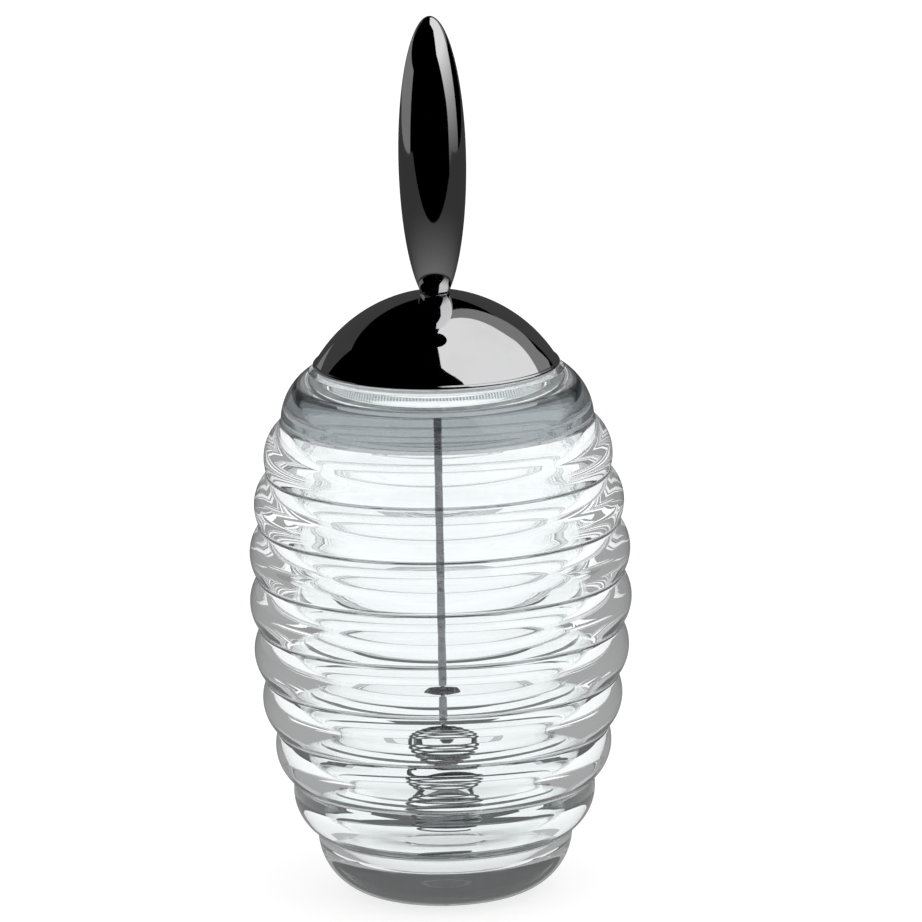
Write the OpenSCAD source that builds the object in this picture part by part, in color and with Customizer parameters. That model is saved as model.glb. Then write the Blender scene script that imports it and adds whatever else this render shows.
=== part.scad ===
// Honey pot: a thick ribbed glass jar shaped like a hive, with a lift-off metal lid.
// The lid carries a long handle above and a wire dipper on a thin stem below.
// Millimetres, +Z up, origin at the centre of the foot.

/* [Jar outside] */
// Radius of the widest groove between the ribs
hive_r = 40.2; // [34:0.1:48]
// Height of the widest part above the foot
belly_z = 70; // [64:0.5:76]
// Radius of the top groove, under the shoulder
neck_r = 34.4; // [31:0.1:37]
// Radius of the bottom groove, above the base
heel_r = 28.1; // [25:0.1:32]
// Height of the bottom groove above the foot
base_h = 13.5; // [11:0.1:16]
// Number of round ribs
rib_count = 8; // [6:1:9]
// Height of one rib
rib_pitch = 11.54; // [10:0.02:13]
// How far a rib bulges out past its grooves
rib_bulge = 2; // [1.3:0.1:2.6]
// Height of the plain shoulder above the top groove
shoulder_h = 11.3; // [10:0.1:15]
// How far the shoulder bulges out
shoulder_bulge = 1.7; // [1.2:0.1:2.6]
// Outer radius of the lip that the seal rests on
lip_r = 28; // [27.4:0.1:29]
// Radius of the edge round on the lip
lip_edge = 0.5; // [0.2:0.1:0.8]
// Radius at which the base curve meets the ground
foot_r = 17.7; // [15.5:0.1:20]
// How far the base curve bulges out
base_bulge = 3; // [2:0.1:3.4]
// Radius of the round between the base and the foot
foot_edge = 1.6; // [0.8:0.1:2.4]
// Radius of the shallow hollow under the foot
punt_r = 12.5; // [8:0.5:13.5]
// Depth of the shallow hollow under the foot
punt_h = 0.8; // [0.4:0.1:1.5]

/* [Jar inside] */
// Glass between the inner wall's mean line and the widest groove
wall = 7.5; // [6.4:0.1:8.4]
// Glass between the inner wall's mean line and the top groove
neck_wall = 4; // [3:0.1:6]
// Glass between the inner wall's mean line and the bottom groove
heel_wall = 5.4; // [4:0.1:7]
// How far the inner wall swells out behind each rib
swell_h = 0.9; // [0.4:0.1:1.2]
// How far below the middle of a rib the swell is fullest
swell_drop = 0.4; // [0:0.1:1]
// Height of the ripple that makes each swell fall away sooner above than below
ripple_h = 0.28; // [0:0.02:0.4]
// How far above the middle of a rib the ripple's crest lies
ripple_rise = 1.5; // [0.8:0.1:2]
// Thickness of the glass floor
floor_t = 9; // [6:0.5:12]
// Radius of the round between the inner wall and the floor
floor_round = 6; // [3:0.5:9]
// Radius of the round under the inner shoulder
shoulder_round = 5; // [3:0.5:7]
// Height of the straight bore in the mouth
mouth_h = 3.8; // [3:0.1:5]
// Radius of the bore in the mouth
mouth_r = 22; // [21:0.1:23]

/* [Seal] */
// Radial gap between the seal's beads and the mouth
seal_gap = 0.3; // [0.2:0.05:0.5]
// Thickness of the seal's flange between lip and lid
seal_flange_t = 0.8; // [0.6:0.1:1.2]
// How far the seal's flange stops inside the lid's rim
seal_flange_inset = 1; // [0.6:0.1:1.6]
// How far the seal's skirt reaches into the mouth
seal_skirt_h = 5.6; // [4.5:0.1:6.5]
// Thickness of the seal's skirt
seal_skirt_t = 1.1; // [0.8:0.1:1.4]
// How far the sealing beads stand out of the skirt
bead_h = 0.3; // [0.2:0.05:0.4]
// Number of sealing beads
bead_count = 2; // [1:1:3]

/* [Lid] */
// Radius of the lid at its rim
lid_r = 27.1; // [26.2:0.1:28.4]
// Height of the dome above the rim's fold
dome_h = 16.5; // [12:0.1:18]
// How far the dome's curve is centred past the axis, which makes the top less flat
dome_point = 1.4; // [0:0.1:3]
// Sheet thickness of the dome and of its folded rim
lid_sheet = 0.8; // [0.6:0.1:1]
// Width of the flat fold under the rim
hem_w = 2.2; // [1.8:0.1:2.6]
// Radius of the flat at the top of the dome that the handle stands on
dome_seat_r = 2.9; // [2.8:0.1:3.4]
// Sheet thickness of the liner under the dome
liner_sheet = 0.6; // [0.5:0.1:0.8]
// Radial gap between the liner's cup and the seal
liner_gap = 0.3; // [0.2:0.05:0.5]
// How far the liner's cup reaches below the dome's rim
liner_depth = 3.4; // [2.6:0.1:4]
// Inner bend radius of the liner's cup
liner_bend = 0.8; // [0.4:0.1:1.2]

/* [Handle] */
// Length of the handle
handle_l = 60.9; // [45:0.1:75]
// Largest radius of the handle
handle_r = 7.4; // [6:0.1:9]
// Height of the widest part above the handle's lower end
handle_widest = 29.3; // [22:0.1:36]
// Radius that the curve of the handle has at its lower end
handle_end_r = 3.2; // [3.1:0.1:4.5]
// Radius of the round at the handle's lower end
handle_end_round = 0.8; // [0.4:0.1:1]

/* [Fixings] */
// Radius of the stud through the lid
stud_r = 1.5; // [1.2:0.1:1.6]
// Clearance of the stud in the holes of the lid
hole_gap = 0.1; // [0.05:0.05:0.2]
// How far the stud is screwed into the handle
stud_in_handle = 9; // [6:0.5:14]
// How far the stud is screwed into the boss
stud_in_boss = 2.4; // [1.8:0.1:3]
// Depth of the handle's hole past the stud
handle_bore_spare = 0.8; // [0.4:0.1:1.5]
// Radius of the washer under the liner
washer_r = 4.6; // [3.8:0.1:6]
// Thickness of the washer
washer_t = 0.5; // [0.4:0.1:0.8]
// Radius of the boss that clamps the lid and holds the stem
boss_r = 3.2; // [2.8:0.1:3.6]
// Height of the boss
boss_h = 4.4; // [4:0.1:6]
// Height of the taper at the lower end of the boss
boss_taper_h = 1.2; // [0.8:0.1:1.5]
// Distance of each spanner flat on the boss from the axis
boss_flat = 2.6; // [2.4:0.1:2.7]

/* [Dipper] */
// Radius of the stem
stem_r = 0.9; // [0.7:0.05:1.2]
// How far the stem is let into the boss
stem_in_boss = 1.6; // [1.2:0.1:1.8]
// Height of the lowest turn of the coil above the glass floor
dipper_clear = 5.5; // [4.8:0.1:12]
// Height of the coil, from its lowest turn to the end of the stem
coil_h = 25; // [20:0.5:29]
// Radius of the widest turn, to the middle of the wire
coil_r = 8.2; // [6:0.1:9]
// Radius of the lowest turn, to the middle of the wire
coil_end_r = 5.2; // [4:0.1:6]
// Share of the coil's height, from its top turn, at which it is widest
coil_widest = 0.58; // [0.5:0.01:0.68]
// Share of the coil's turns that lie above its widest turn
coil_cap = 0.66; // [0.6:0.01:0.72]
// Radius at which the wire leaves the axis for its first turn
coil_start_r = 0.9; // [0.8:0.1:1.4]
// Number of turns in the coil
coil_turns = 11; // [8:1:12]
// Diameter of the coil's wire
wire_d = 1; // [0.8:0.05:1.1]

/* [Hidden] */
$fn = 96;
eps = 0.01;

// Heights that pieces share
top_groove_z = base_h + rib_count * rib_pitch;
lip_z = top_groove_z + shoulder_h;
floor_z = floor_t;
rim_z = lip_z + seal_flange_t;
dome_z = rim_z + lid_sheet / 2;
liner_z = rim_z - liner_depth;
washer_z = liner_z - washer_t;
boss_z = washer_z - boss_h;

// Radii that pieces share
cavity_r = hive_r - wall;
bead_r = mouth_r - seal_gap;
skirt_r = bead_r - bead_h;
seal_bore_r = skirt_r - seal_skirt_t;
cup_r = seal_bore_r - liner_gap;
flange_r = lid_r - seal_flange_inset;
hem_in_r = lid_r - hem_w;

// The dome's outer curve is one arc, from the rim to the axis
dome_drop = (lid_r * (lid_r + 2 * dome_point) - dome_h * dome_h) / (2 * dome_h);
dome_arc_r = norm([lid_r + dome_point, dome_drop]);
dome_arc_z = dome_z - dome_drop;
seat_z = dome_arc_z + sqrt(pow(dome_arc_r, 2) - pow(dome_seat_r + dome_point, 2));

// The coil hangs at the end of the stem
coil_low_z = floor_z + dipper_clear;
stem_end_z = coil_low_z + coil_h;
wire_r = wire_d / 2;

// Groove i, counted up from the base, lies on an ellipse through the belly
upper_half = (top_groove_z - belly_z) / sqrt(1 - pow(neck_r / hive_r, 2));
lower_half = (belly_z - base_h) / sqrt(1 - pow(heel_r / hive_r, 2));
function groove_r(z) = hive_r * sqrt(1 - pow((z - belly_z) / (z > belly_z ? upper_half : lower_half), 2));
function groove(i) = let (z = base_h + i * rib_pitch) [groove_r(z), z];

// Centre and radius of the arc through two points that bulges out by a given amount
function arc_radius(a, b, bulge) = (pow(norm(b - a) / 2, 2) + bulge * bulge) / (2 * bulge);
function arc_centre(a, b, bulge) =
    let (along = (b - a) / norm(b - a), inward = [-along[1], along[0]])
    (a + b) / 2 + inward * (arc_radius(a, b, bulge) - bulge);

// Fills the half plane inside the arc from a, below, to b, above
module bulge_disc(a, b, bulge) {
    translate(arc_centre(a, b, bulge)) circle(r = arc_radius(a, b, bulge));
}

// Rectangle from the axis out to radius r, between two heights
module band(r, z0, z1) {
    translate([0, z0]) square([r, z1 - z0]);
}

lip_point = [lip_r, lip_z];
foot_point = [foot_r, 0];
base_arc_r = arc_radius(foot_point, groove(0), base_bulge);
base_centre = arc_centre(foot_point, groove(0), base_bulge);
shoulder_arc_r = arc_radius(groove(rib_count), lip_point, shoulder_bulge);
shoulder_centre = arc_centre(groove(rib_count), lip_point, shoulder_bulge);

// Where a round of radius r, resting on height z, lies inside an arc
function nested_r(centre, arc_r, r, z) = centre[0] + sqrt(pow(arc_r - r, 2) - pow(z - centre[1], 2));
foot_round_r = nested_r(base_centre, base_arc_r, foot_edge, foot_edge);
foot_round_point = [foot_round_r, foot_edge];
lip_round_r = nested_r(shoulder_centre, shoulder_arc_r, lip_edge, lip_z - lip_edge);
lip_round_point = [lip_round_r, lip_z - lip_edge];

// Where an arc touches a round that is nested in it
function touch(centre, arc_r, point) = centre + (point - centre) * arc_r / norm(point - centre);
foot_touch = touch(base_centre, base_arc_r, foot_round_point);
lip_touch = touch(shoulder_centre, shoulder_arc_r, lip_round_point);

// Each rib is a full disc whose edge passes through the grooves below and above it
function rib_centre(i) = arc_centre(groove(i), groove(i + 1), rib_bulge);
module rib_disc(i) {
    bulge_disc(groove(i), groove(i + 1), rib_bulge);
}

module jar_outline() {
    overlap = rib_bulge;
    polygon(concat([[0, 0], [foot_round_r, 0], foot_touch], [for (i = [0 : rib_count - 1]) rib_centre(i)],
        [[rib_centre(rib_count - 1)[0], lip_z - lip_edge], [0, lip_z - lip_edge]]));
    for (i = [0 : rib_count - 1]) rib_disc(i);
    translate(foot_round_point) circle(r = foot_edge);
    intersection() {
        bulge_disc(foot_point, groove(0), base_bulge);
        band(2 * hive_r, foot_touch[1], base_h + overlap);
    }
    polygon([[0, lip_touch[1] - overlap], lip_touch, [lip_round_r, lip_z], [0, lip_z]]);
    translate(lip_round_point) circle(r = lip_edge);
    intersection() {
        bulge_disc(groove(rib_count), lip_point, shoulder_bulge);
        band(2 * hive_r, top_groove_z - overlap, lip_touch[1]);
    }
}

// The inner wall's mean line is two arcs that run into each other at the belly, and each
// passes at its wall's thickness inside the top or the bottom groove. An arc whose end lies
// further out than the belly has a radius below zero and curves the other way.
function barrel_curve(rise, drop) = (rise * rise + drop * drop) / (2 * drop);
upper_curve = barrel_curve(top_groove_z - belly_z, cavity_r - neck_r + neck_wall);
lower_curve = barrel_curve(belly_z - base_h, cavity_r - heel_r + heel_wall);
function barrel_r(z) =
    let (curve = z > belly_z ? upper_curve : lower_curve)
    cavity_r - curve + sign(curve) * sqrt(curve * curve - pow(z - belly_z, 2));

// The wall swells behind each rib, as glass blown into a ribbed mould does
function swell(z) =
    let (up = z - base_h - rib_pitch / 2, turn = 360 / rib_pitch)
    swell_h * cos(turn * (up + swell_drop)) + ripple_h * cos(2 * turn * (up - ripple_rise));
function inner_r(z) = barrel_r(z) + swell(z);

throat_z = lip_z - mouth_h;
floor_round_z = floor_z + floor_round;
floor_round_r = inner_r(floor_round_z) - floor_round;
throat_round_z = throat_z - shoulder_round;
throat_round_r = inner_r(throat_round_z) - shoulder_round;
steps_per_rib = 12;
wall_steps = steps_per_rib * rib_count;
wall_step_h = (throat_round_z - floor_round_z) / wall_steps;

module cavity_outline() {
    polygon(concat(
        [[0, floor_z], [floor_round_r, floor_z]],
        [for (i = [0 : wall_steps]) let (z = floor_round_z + i * wall_step_h) [inner_r(z), z]],
        [[throat_round_r, throat_z], [0, throat_z]]
    ));
    translate([floor_round_r, floor_round_z]) circle(r = floor_round);
    translate([throat_round_r, throat_round_z]) circle(r = shoulder_round);
    band(mouth_r, belly_z, lip_z + 1);
}

// The hollow under the foot is part of a large ball
module punt_outline() {
    curve = (punt_r * punt_r + punt_h * punt_h) / (2 * punt_h);
    translate([0, punt_h - curve]) circle(r = curve, $fn = 360);
}

module glass_jar() {
    color([0.86, 0.9, 0.92, 0.45])
        rotate_extrude()
            intersection() {
                difference() {
                    jar_outline();
                    cavity_outline();
                    punt_outline();
                }
                band(2 * hive_r, 0, lip_z);
            }
}

module seal_ring() {
    skirt_end = lip_z - seal_skirt_h;
    color([0.88, 0.9, 0.9, 0.8])
        rotate_extrude()
            difference() {
                union() {
                    band(flange_r, lip_z, rim_z);
                    band(skirt_r, skirt_end, rim_z);
                    for (i = [1 : bead_count])
                        translate([skirt_r, skirt_end + i * seal_skirt_h / (bead_count + 1)])
                            circle(r = bead_h, $fn = 24);
                }
                band(seal_bore_r, skirt_end - 1, rim_z + 1);
            }
}

module dome_disc(r) {
    translate([-dome_point, dome_arc_z]) circle(r = r, $fn = 180);
}

module lid_dome() {
    hem_r = lid_sheet / 2;
    color([0.75, 0.76, 0.78])
        rotate_extrude()
            difference() {
                union() {
                    difference() {
                        intersection() {
                            dome_disc(dome_arc_r);
                            band(lid_r + 1, dome_z, seat_z);
                        }
                        intersection() {
                            dome_disc(dome_arc_r - lid_sheet);
                            band(lid_r, dome_z - 1, seat_z - lid_sheet);
                        }
                    }
                    translate([hem_in_r, rim_z]) square([hem_w - hem_r, lid_sheet]);
                    translate([lid_r - hem_r, dome_z]) circle(r = hem_r, $fn = 32);
                }
                band(stud_r + hole_gap, dome_z, seat_z + 1);
            }
}

module lid_liner() {
    bend_out = liner_bend + liner_sheet;
    color([0.7, 0.71, 0.73])
        rotate_extrude()
            difference() {
                union() {
                    band(hem_in_r, rim_z, rim_z + liner_sheet);
                    band(cup_r, liner_z + bend_out, rim_z + liner_sheet);
                    band(cup_r - bend_out, liner_z, rim_z);
                    translate([cup_r - bend_out, liner_z + bend_out]) circle(r = bend_out, $fn = 48);
                }
                band(cup_r - liner_sheet, liner_z + bend_out, rim_z + 1);
                band(cup_r - bend_out, liner_z + liner_sheet, rim_z + 1);
                translate([cup_r - bend_out, liner_z + bend_out]) circle(r = liner_bend, $fn = 48);
                band(stud_r + hole_gap, liner_z - 1, rim_z + 1);
            }
}

// Half of an ellipse on the axis, cut off above or below its widest height
module half_spindle(r, semi, z0, z1) {
    intersection() {
        scale([1, semi / r]) circle(r = r, $fn = 120);
        band(r + 1, z0, z1);
    }
}

module handle() {
    lower_semi = handle_widest / sqrt(1 - pow(handle_end_r / handle_r, 2));
    upper_semi = handle_l - handle_widest;
    color([0.75, 0.76, 0.78])
        translate([0, 0, seat_z])
            difference() {
                rotate_extrude()
                    translate([0, handle_widest])
                        union() {
                            half_spindle(handle_r, upper_semi, 0, upper_semi);
                            half_spindle(handle_r, lower_semi, handle_end_round - handle_widest, 0);
                            band(handle_end_r - handle_end_round, -handle_widest, 0);
                            translate([handle_end_r - handle_end_round, handle_end_round - handle_widest])
                                circle(r = handle_end_round, $fn = 48);
                        }
                translate([0, 0, -1]) cylinder(r = stud_r, h = stud_in_handle + handle_bore_spare + 1);
            }
}

module lid_stud() {
    color([0.7, 0.71, 0.73])
        translate([0, 0, washer_z - stud_in_boss])
            cylinder(r = stud_r, h = seat_z + stud_in_handle - washer_z + stud_in_boss);
}

module clamp_washer() {
    color([0.6, 0.61, 0.63])
        translate([0, 0, washer_z])
            difference() {
                cylinder(r = washer_r, h = washer_t);
                translate([0, 0, -1]) cylinder(r = stud_r + hole_gap, h = washer_t + 2);
            }
}

module stem_boss() {
    color([0.7, 0.71, 0.73])
        translate([0, 0, boss_z])
            difference() {
                union() {
                    cylinder(r1 = boss_r - boss_taper_h, r2 = boss_r, h = boss_taper_h);
                    translate([0, 0, boss_taper_h]) cylinder(r = boss_r, h = boss_h - boss_taper_h);
                }
                for (side = [-1, 1])
                    translate([side * (boss_flat + boss_r) - boss_r, -boss_r, boss_taper_h])
                        cube([2 * boss_r, 2 * boss_r, boss_h]);
                translate([0, 0, boss_h - stud_in_boss]) cylinder(r = stud_r, h = stud_in_boss + 1);
                translate([0, 0, -1]) cylinder(r = stem_r, h = stem_in_boss + 1);
            }
}

module dipper_stem() {
    color([0.45, 0.46, 0.48])
        translate([0, 0, stem_end_z]) cylinder(r = stem_r, h = boss_z + stem_in_boss - stem_end_z);
}

// The coil starts straight on the axis under the stem, winds out and down over a round
// top to its widest turn and closes again a little to its lowest turn.
rings_per_turn = 24;
wire_sides = 6;
coil_lead = 1.5 * wire_d;
coil_rings = coil_turns * rings_per_turn;
coil_fall = coil_h - coil_lead - wire_d;
on_axis = 0.05;

// Quarter turn of the round top, or share of the way below it, at share t of the turns
function top_angle(t) = 90 * t / coil_cap;
function below(t) = (t - coil_cap) / (1 - coil_cap);
function coil_radius(t) = t < coil_cap
    ? coil_start_r + (coil_r - coil_start_r) * sin(top_angle(t))
    : coil_end_r + (coil_r - coil_end_r) * cos(90 * below(t));
function coil_drop(t) = t < coil_cap
    ? coil_fall * coil_widest * (1 - cos(top_angle(t)))
    : coil_fall * (coil_widest + (1 - coil_widest) * below(t));
function coil_z(t) = stem_end_z - coil_lead - wire_d - coil_drop(t);
function coil_point(i) =
    let (t = i / coil_rings, a = 360 * i / rings_per_turn)
    [coil_radius(t) * cos(a), coil_radius(t) * sin(a), coil_z(t)];
coil_path = concat(
    [[0, 0, stem_end_z], [0, 0, stem_end_z - coil_lead]],
    [for (i = [2 : coil_rings]) coil_point(i)]);

function unit(v) = v / norm(v);
function path_way(p, i) = unit(p[min(i + 1, len(p) - 1)] - p[max(i - 1, 0)]);
// A ring round the wire: its first side direction points away from the axis where it can
function ring_out(p, i) =
    let (way = path_way(p, i), out = norm([p[i][0], p[i][1]]) < on_axis ? [1, 0, 0] : [p[i][0], p[i][1], 0])
    unit(out - way * (out * way));
function wire_ring(p, i) =
    let (way = path_way(p, i), out = ring_out(p, i), side = cross(way, out))
    [for (k = [0 : wire_sides - 1])
        p[i] + wire_r * (cos(360 * k / wire_sides) * out + sin(360 * k / wire_sides) * side)];

module wire(p) {
    n = len(p);
    points = [for (i = [0 : n - 1]) each wire_ring(p, i)];
    sides = [for (i = [0 : n - 2], k = [0 : wire_sides - 1])
        let (a = i * wire_sides + k, b = i * wire_sides + (k + 1) % wire_sides)
        each [[a, a + wire_sides, b + wire_sides], [a, b + wire_sides, b]]];
    first = [for (k = [1 : wire_sides - 2]) [0, k, k + 1]];
    end = (n - 1) * wire_sides;
    last = [for (k = [1 : wire_sides - 2]) [end, end + k + 1, end + k]];
    polyhedron(points = points, faces = concat(first, sides, last));
}

// Least clear distance between pieces of wire that lie from half a turn to a turn and a half apart
path_end = len(coil_path) - 1;
near_rings = rings_per_turn / 2;
far_rings = 3 * near_rings;
coil_gap = min([for (i = [0 : path_end - near_rings])
    min([for (j = [i + near_rings : min(i + far_rings, path_end)]) norm(coil_path[i] - coil_path[j])])
]) - wire_d;
echo(least_gap_between_turns = coil_gap);

module dipper_coil() {
    color([0.6, 0.61, 0.63]) wire(coil_path);
}

glass_jar();
seal_ring();
lid_dome();
lid_liner();
handle();
lid_stud();
clamp_washer();
stem_boss();
dipper_stem();
dipper_coil();
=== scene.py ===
"""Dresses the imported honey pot: ribbed clear glass, frosted seal, polished lid and wire dipper."""
import logging
import math
from dataclasses import dataclass, field
from enum import Enum, IntEnum
from typing import Callable, List, Optional, Sequence, Tuple

import bmesh
import bpy
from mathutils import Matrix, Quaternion, Vector


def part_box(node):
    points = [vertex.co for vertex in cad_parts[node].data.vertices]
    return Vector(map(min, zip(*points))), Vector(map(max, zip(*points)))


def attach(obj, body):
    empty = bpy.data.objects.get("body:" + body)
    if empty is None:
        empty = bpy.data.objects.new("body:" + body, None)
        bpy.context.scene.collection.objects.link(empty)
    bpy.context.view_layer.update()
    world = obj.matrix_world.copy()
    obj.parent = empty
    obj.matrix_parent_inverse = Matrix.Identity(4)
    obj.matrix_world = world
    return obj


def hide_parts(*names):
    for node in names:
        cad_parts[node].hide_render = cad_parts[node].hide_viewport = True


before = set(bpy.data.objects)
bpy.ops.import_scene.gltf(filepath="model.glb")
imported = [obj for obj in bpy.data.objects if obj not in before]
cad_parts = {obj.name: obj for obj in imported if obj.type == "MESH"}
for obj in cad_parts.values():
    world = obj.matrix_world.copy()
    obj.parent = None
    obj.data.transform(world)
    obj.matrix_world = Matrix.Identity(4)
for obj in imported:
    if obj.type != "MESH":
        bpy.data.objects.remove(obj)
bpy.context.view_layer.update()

LOG = logging.getLogger("honey_pot")
MM = 0.001
WELD = 1e-6
SEED = 0.01
ROUND_PROFILE = 0.5

Point = Tuple[float, float]
Colour = Tuple[float, float, float]
Place = Tuple[float, float, float]


class Rides(Enum):
    """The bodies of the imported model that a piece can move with."""

    JAR = "jar"
    SEAL = "seal"
    LID = "lid"


class Slot(Enum):
    """The material slots of the record."""

    GLASS = "clear_glass"
    SEAL = "clear_seal"
    POLISHED = "polished_steel"
    PRESSED = "pressed_steel"
    WIRE = "wire_steel"


class JarGlass(IntEnum):
    """The jar's glasses, in the order of its material slots."""

    CLEAR = 0
    # Glass darkened to paint the shade in each groove.
    GROOVE = 1
    # Glass darkened to paint the shade on the plain shoulder.
    SHOULDER = 2


class SeenIn(Enum):
    """Which surfaces of the object show a studio card."""

    METAL = "metal"
    GLASS = "glass"


# Drawing and turning


def half_way(a: Point, b: Point) -> Point:
    """Returns the point half way between a and b."""
    return (a[0] + b[0]) / 2, (a[1] + b[1]) / 2


def arc_radius(a: Point, b: Point, bulge: float) -> float:
    """Returns the radius of the arc from a to b that bulges out by bulge."""
    half = math.dist(a, b) / 2
    return (half * half + bulge * bulge) / (2 * bulge)


def arc_centre(a: Point, b: Point, bulge: float) -> Point:
    """Finds the centre of the arc from a, below, to b, above.

    Args:
        a: Lower end, as radius and height in millimetres.
        b: Upper end.
        bulge: How far the arc stands out of the line from a to b.

    Returns:
        The centre, as radius and height.
    """
    length = math.dist(a, b)
    along = ((b[0] - a[0]) / length, (b[1] - a[1]) / length)
    reach = arc_radius(a, b, bulge) - bulge
    middle = half_way(a, b)
    return middle[0] - along[1] * reach, middle[1] + along[0] * reach


def nested_r(centre: Point, arc: float, r: float, z: float) -> float:
    """Returns where a round of radius r at height z lies inside an arc."""
    return centre[0] + math.sqrt((arc - r) ** 2 - (z - centre[1]) ** 2)


def touch(centre: Point, arc: float, point: Point) -> Point:
    """Finds where an arc touches a round that lies inside it.

    Args:
        centre: Centre of the arc.
        arc: Radius of the arc.
        point: Centre of the round.

    Returns:
        The point, as radius and height.
    """
    length = math.dist(centre, point)
    return (centre[0] + (point[0] - centre[0]) * arc / length,
            centre[1] + (point[1] - centre[1]) * arc / length)


def pick_nothing() -> None:
    """Leaves edit mode and deselects every object."""
    if bpy.context.object and bpy.context.object.mode != "OBJECT":
        bpy.ops.object.mode_set(mode="OBJECT")
    bpy.ops.object.select_all(action="DESELECT")


def select_edges(piece: bpy.types.Object, wanted: Callable[[Vector, Vector], bool]) -> int:
    """Selects edges of the piece in edit mode by the place of their ends.

    Args:
        piece: The mesh object, in edit mode.
        wanted: Takes both ends of an edge and says whether it is wanted.

    Returns:
        How many edges are selected.
    """
    bpy.ops.mesh.select_mode(type="EDGE")
    bpy.ops.mesh.select_all(action="DESELECT")
    shape = bmesh.from_edit_mesh(piece.data)
    count = 0
    for edge in shape.edges:
        if wanted(edge.verts[0].co, edge.verts[1].co):
            edge.select_set(True)
            count += 1
    shape.select_flush(True)
    bmesh.update_edit_mesh(piece.data)
    return count


def on_ring(r: float, z: float, slack: float = 0.02) -> Callable[[Vector, Vector], bool]:
    """Makes a test for edges that run round the axis.

    Args:
        r: Radius of the ring in millimetres.
        z: Height of the ring.
        slack: How far off the ends of an edge may lie.

    Returns:
        A function that takes both ends of an edge and says whether they lie on the ring.
    """

    def near(v: Vector) -> bool:
        """Says whether v lies on the ring."""
        return abs(math.hypot(v.x, v.y) / MM - r) < slack and abs(v.z / MM - z) < slack

    return lambda a, b: near(a) and near(b)


class TurnedShape:
    """Half an outline that is drawn edge by edge in the XZ plane and then turned about the axis."""

    def __init__(self, name: str, start: Point) -> None:
        """Starts the outline with one vertex.

        Args:
            name: Name of the piece.
            start: First point, as radius and height in millimetres.
        """
        pick_nothing()
        bpy.ops.mesh.primitive_plane_add(size=SEED, location=(0, 0, 0))
        self.piece = bpy.context.object
        self.piece.name = name
        self.at = start
        bpy.ops.object.mode_set(mode="EDIT")
        bpy.ops.mesh.select_mode(type="VERT")
        bpy.ops.mesh.select_all(action="SELECT")
        bpy.ops.mesh.merge(type="CENTER")
        bpy.ops.transform.translate(value=(start[0] * MM, 0, start[1] * MM))

    def line(self, *points: Point) -> "TurnedShape":
        """Draws straight edges.

        Args:
            *points: The points that they run to, in turn.

        Returns:
            This outline.
        """
        for point in points:
            step = ((point[0] - self.at[0]) * MM, 0, (point[1] - self.at[1]) * MM)
            bpy.ops.mesh.extrude_vertices_move(TRANSFORM_OT_translate={"value": step})
            self.at = point
        return self

    def arc(self, centre: Point, end: Point, steps: int, clockwise: bool = False) -> "TurnedShape":
        """Draws an arc about centre from the last point to end.

        Args:
            centre: Centre of the arc, as radius and height.
            end: Last point; only its direction from the centre counts.
            steps: Number of edges.
            clockwise: Whether the arc runs clockwise with the radius to the right and height up.

        Returns:
            This outline.
        """
        a0 = math.atan2(self.at[1] - centre[1], self.at[0] - centre[0])
        a1 = math.atan2(end[1] - centre[1], end[0] - centre[0])
        turn = (a0 - a1 if clockwise else a1 - a0) % (2 * math.pi)
        bpy.ops.mesh.spin(steps=steps, angle=turn, center=(centre[0] * MM, 0, centre[1] * MM),
                          axis=(0, -1, 0) if clockwise else (0, 1, 0))
        reach = math.dist(centre, self.at)
        self.at = (centre[0] + reach * math.cos(a1), centre[1] + reach * math.sin(a1))
        return self

    def turn(self, steps: int) -> bpy.types.Object:
        """Turns the outline about the axis, closes its seam and poles and points its faces out.

        Args:
            steps: Number of steps in the full turn.

        Returns:
            The piece, still in edit mode.
        """
        bpy.ops.mesh.select_all(action="SELECT")
        bpy.ops.mesh.spin(steps=steps, angle=2 * math.pi, center=(0, 0, 0), axis=(0, 0, 1))
        bpy.ops.mesh.select_all(action="SELECT")
        bpy.ops.mesh.remove_doubles(threshold=WELD)
        bpy.ops.mesh.select_all(action="SELECT")
        bpy.ops.mesh.normals_make_consistent(inside=False)
        return self.piece


def soften(piece: bpy.types.Object, rings: Sequence[Point], offset: float, segments: int,
           finish: int = -1) -> None:
    """Bevels the edges that run round the axis at the given places.

    Args:
        piece: The piece, in edit mode.
        rings: Radius and height of each ring of edges.
        offset: Width of the bevel in millimetres.
        segments: Number of segments in the bevel.
        finish: Index of the material that the new faces take, or -1 for their neighbours'.
    """
    tests = [on_ring(r, z) for r, z in rings]
    found = select_edges(piece, lambda a, b: any(test(a, b) for test in tests))
    if found:
        bpy.ops.mesh.bevel(offset=offset * MM, segments=segments, profile=ROUND_PROFILE, affect="EDGES",
                           material=finish)
    else:
        LOG.warning("%s has no edges at %s", piece.name, rings)


def finish_piece(piece: bpy.types.Object, rides: Rides, material: bpy.types.Material,
                 replaces: Sequence[str] = (), angle: float = 40) -> bpy.types.Object:
    """Smooths a finished mesh, gives it its material and hands it to the frame.

    Args:
        piece: The piece.
        rides: The body that it moves with.
        material: Its material.
        replaces: CAD nodes that it stands for.
        angle: Edges sharper than this many degrees stay sharp.

    Returns:
        The piece.
    """
    pick_nothing()
    bpy.context.view_layer.objects.active = piece
    piece.select_set(True)
    bpy.ops.object.transform_apply(location=True, rotation=True, scale=True)
    bpy.ops.object.shade_smooth_by_angle(angle=math.radians(angle))
    if not piece.data.materials:
        piece.data.materials.append(material)
    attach(piece, rides.value)
    if replaces:
        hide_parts(*replaces)
    piece.select_set(False)
    LOG.info("%s: %d faces, rides on %s", piece.name, len(piece.data.polygons), rides.value)
    return piece


# Node groups that several finishes share

SMEAR_RANGE = (0.5, 0.72)
SPECK_RANGE = (0.74, 0.8)
LINE_RANGE = (0.35, 0.65)
SPECKS_PER_SMEAR = 22.0
WAVE_STRETCH = (1, 1, 0.8)


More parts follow.
